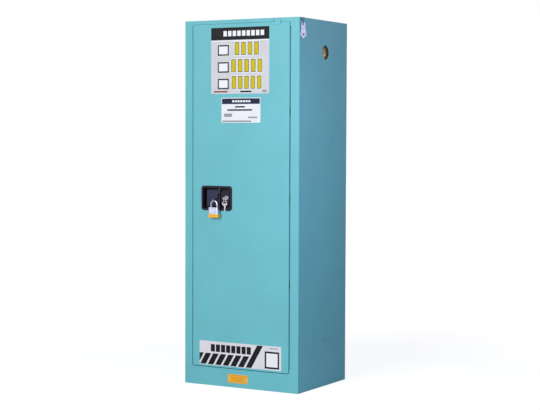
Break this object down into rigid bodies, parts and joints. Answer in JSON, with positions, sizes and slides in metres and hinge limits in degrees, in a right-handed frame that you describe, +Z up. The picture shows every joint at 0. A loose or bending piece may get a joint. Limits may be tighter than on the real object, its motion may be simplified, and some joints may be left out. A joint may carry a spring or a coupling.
{
  "type": "corrosives safety cabinet",
  "caption": "Slim double-wall steel safety cabinet for corrosives, with a self-closing door, paddle latch, lock, padlock, spill trays on shelves, capped vents and a fusible link.",
  "frame": {"origin": "on the floor, under the middle of the cabinet's body", "axes": "+Z up, -Y to the front where the door is, +X to the right of someone who faces the door"},
  "size_m": [0.6117, 0.4883, 1.651],
  "materials": {
    "cabinet_paint": "satin turquoise powder coat with a fine orange-peel texture",
    "hinge_coat": "satin powder coat, darker in the narrow hinge gap",
    "zinc_plated_steel": "bright zinc plate",
    "spring_steel": "plain oiled spring steel",
    "housing_coat": "satin black powder coat on a die casting",
    "paddle_coat": "satin dark blue-grey powder coat on a die casting",
    "lock_chrome": "polished chrome",
    "key_nickel": "nickel plate, lightly scratched",
    "padlock_steel": "plated steel laminations",
    "bumper_plastic": "moulded yellow plastic",
    "vent_coat": "dark brown-black coat",
    "vent_brass": "dull brass",
    "link_zinc": "galvanised, mottled",
    "guide_nylon": "moulded nylon",
    "tray_plastic": "moulded polyethylene with a fine grain",
    "label_foil": "printed vinyl foil",
    "sill_foil": "printed yellow vinyl foil"
  },
  "bodies": {
    "cabinet": {"left_side_panel": "cabinet_paint", "right_side_panel": "cabinet_paint", "back_panel": "cabinet_paint", "top_panel": "cabinet_paint", "base_plate": "cabinet_paint", "left_stile": "cabinet_paint", "right_stile": "cabinet_paint", "top_rail": "cabinet_paint", "front_sill": "cabinet_paint", "liner_left": "cabinet_paint", "liner_right": "cabinet_paint", "liner_back": "cabinet_paint", "liner_top": "cabinet_paint", "liner_floor": "cabinet_paint", "shelf_standards": "zinc_plated_steel", "shelf_clips": "zinc_plated_steel", "vent_sleeves": "vent_coat", "flash_screens": "vent_brass", "vent_plugs": "vent_brass", "earth_screw": "zinc_plated_steel", "levelling_feet": "zinc_plated_steel", "hinge_frame_leaf": "hinge_coat", "hinge_pin": "zinc_plated_steel", "hinge_springs": "spring_steel", "strike_plates": "zinc_plated_steel", "link_eye": "zinc_plated_steel", "sill_label": "sill_foil"},
    "door": {"hinge_door_leaf": "hinge_coat", "door_outer_skin": "cabinet_paint", "door_inner_skin": "cabinet_paint", "door_stiffener": "cabinet_paint", "handle_housing": "housing_coat", "paddle_pin": "spring_steel", "paddle_spring": "spring_steel", "padlock_eye": "zinc_plated_steel", "lock_cylinder": "lock_chrome", "latch_plate": "zinc_plated_steel", "latch_guides": "guide_nylon", "door_tab": "cabinet_paint", "door_labels": "label_foil"},
    "handle": {"paddle": "paddle_coat"},
    "hub": {"latch_hub": "zinc_plated_steel"},
    "pull_bar": {"draw_bar": "zinc_plated_steel"},
    "bolt": {"side_bolt": "zinc_plated_steel"},
    "rod_up": {"upper_rod": "zinc_plated_steel"},
    "rod_down": {"lower_rod": "zinc_plated_steel"},
    "lock_core": {"lock_plug": "lock_chrome"},
    "key": {"lock_key": "key_nickel"},
    "key_ring": {"spare_key_ring": "key_nickel"},
    "shackle": {"padlock_shackle": "lock_chrome"},
    "padlock": {"padlock_body": "padlock_steel", "padlock_bumper": "bumper_plastic"},
    "hook": {"link_hook": "zinc_plated_steel"},
    "link": {"fusible_link": "link_zinc"},
    "shelf_low": {"shelf_1": "cabinet_paint"},
    "shelf_mid": {"shelf_2": "cabinet_paint"},
    "shelf_top": {"shelf_3": "cabinet_paint"},
    "tray_low": {"tray_1": "tray_plastic"},
    "tray_mid": {"tray_2": "tray_plastic"},
    "tray_top": {"tray_3": "tray_plastic"}
  },
  "joints": [
    {"name": "door_swing", "type": "hinge", "parent": "cabinet", "child": "door", "pos_m": [0.25, -0.2271, 0.859], "axis": [0, 0, 1], "range_deg": [0, 120], "stiffness_Nm_per_rad": 0.8, "springref_deg": -17.19},
    {"name": "handle_pull", "type": "hinge", "parent": "door", "child": "handle", "pos_m": [-0.119, -0.216, 0.8525], "axis": [0, 0, 1], "range_deg": [0, 28], "stiffness_Nm_per_rad": 0.5, "springref_deg": -11.46},
    {"name": "hub_turn", "type": "hinge", "parent": "door", "child": "hub", "pos_m": [-0.228, -0.2015, 0.852], "axis": [0, 1, 0], "range_deg": [0, 34.95]},
    {"name": "draw_bar_slide", "type": "slide", "parent": "door", "child": "pull_bar", "axis": [-1, 0, 0], "range_m": [0, 0.00925]},
    {"name": "side_bolt_slide", "type": "slide", "parent": "door", "child": "bolt", "axis": [1, 0, 0], "range_m": [0, 0.00925]},
    {"name": "upper_rod_slide", "type": "slide", "parent": "door", "child": "rod_up", "axis": [0, 0, -1], "range_m": [0, 0.00925]},
    {"name": "lower_rod_slide", "type": "slide", "parent": "door", "child": "rod_down", "axis": [0, 0, 1], "range_m": [0, 0.00925]},
    {"name": "key_turn", "type": "hinge", "parent": "door", "child": "lock_core", "pos_m": [-0.076, -0.228, 0.854], "axis": [0, -1, 0], "range_deg": [0, 90]},
    {"name": "key_draw", "type": "slide", "parent": "lock_core", "child": "key", "axis": [0, -1, 0], "range_m": [0, 0.03]},
    {"name": "key_ring_swing", "type": "hinge", "parent": "key", "child": "key_ring", "pos_m": [-0.071, -0.24945, 0.854], "axis": [-1, 0, 0], "range_deg": [0, 60]},
    {"name": "padlock_swing", "type": "hinge", "parent": "door", "child": "shackle", "pos_m": [-0.13, -0.245, 0.84055], "axis": [-1, 0, 0], "range_deg": [0, 70]},
    {"name": "padlock_open", "type": "slide", "parent": "shackle", "child": "padlock", "axis": [0, 0, -1], "range_m": [0, 0.011]},
    {"name": "link_hook_swing", "type": "hinge", "parent": "cabinet", "child": "hook", "pos_m": [0.30619, -0.2136, 1.637], "axis": [-0.7071, -0.7071, 0], "range_deg": [0, 30]},
    {"name": "link_swing", "type": "hinge", "parent": "hook", "child": "link", "pos_m": [0.30619, -0.2136, 1.6214], "axis": [0.7071, -0.7071, 0], "range_deg": [0, 30]},
    {"name": "shelf_low_lift", "type": "slide", "parent": "cabinet", "child": "shelf_low", "axis": [0, 0, 1], "range_m": [0, 0.03]},
    {"name": "shelf_mid_lift", "type": "slide", "parent": "cabinet", "child": "shelf_mid", "axis": [0, 0, 1], "range_m": [0, 0.03]},
    {"name": "shelf_top_lift", "type": "slide", "parent": "cabinet", "child": "shelf_top", "axis": [0, 0, 1], "range_m": [0, 0.03]},
    {"name": "tray_low_lift", "type": "slide", "parent": "shelf_low", "child": "tray_low", "axis": [0, 0, 1], "range_m": [0, 0.05]},
    {"name": "tray_mid_lift", "type": "slide", "parent": "shelf_mid", "child": "tray_mid", "axis": [0, 0, 1], "range_m": [0, 0.05]},
    {"name": "tray_top_lift", "type": "slide", "parent": "shelf_top", "child": "tray_top", "axis": [0, 0, 1], "range_m": [0, 0.05]}
  ],
  "couplings": [
    {"joint": "hub_turn", "follows": "handle_pull", "ratio": 1.2465},
    {"joint": "draw_bar_slide", "follows": "handle_pull", "m_per_rad": 0.018733},
    {"joint": "side_bolt_slide", "follows": "handle_pull", "m_per_rad": 0.018733},
    {"joint": "upper_rod_slide", "follows": "handle_pull", "m_per_rad": 0.018733},
    {"joint": "lower_rod_slide", "follows": "handle_pull", "m_per_rad": 0.018733}
  ]
}
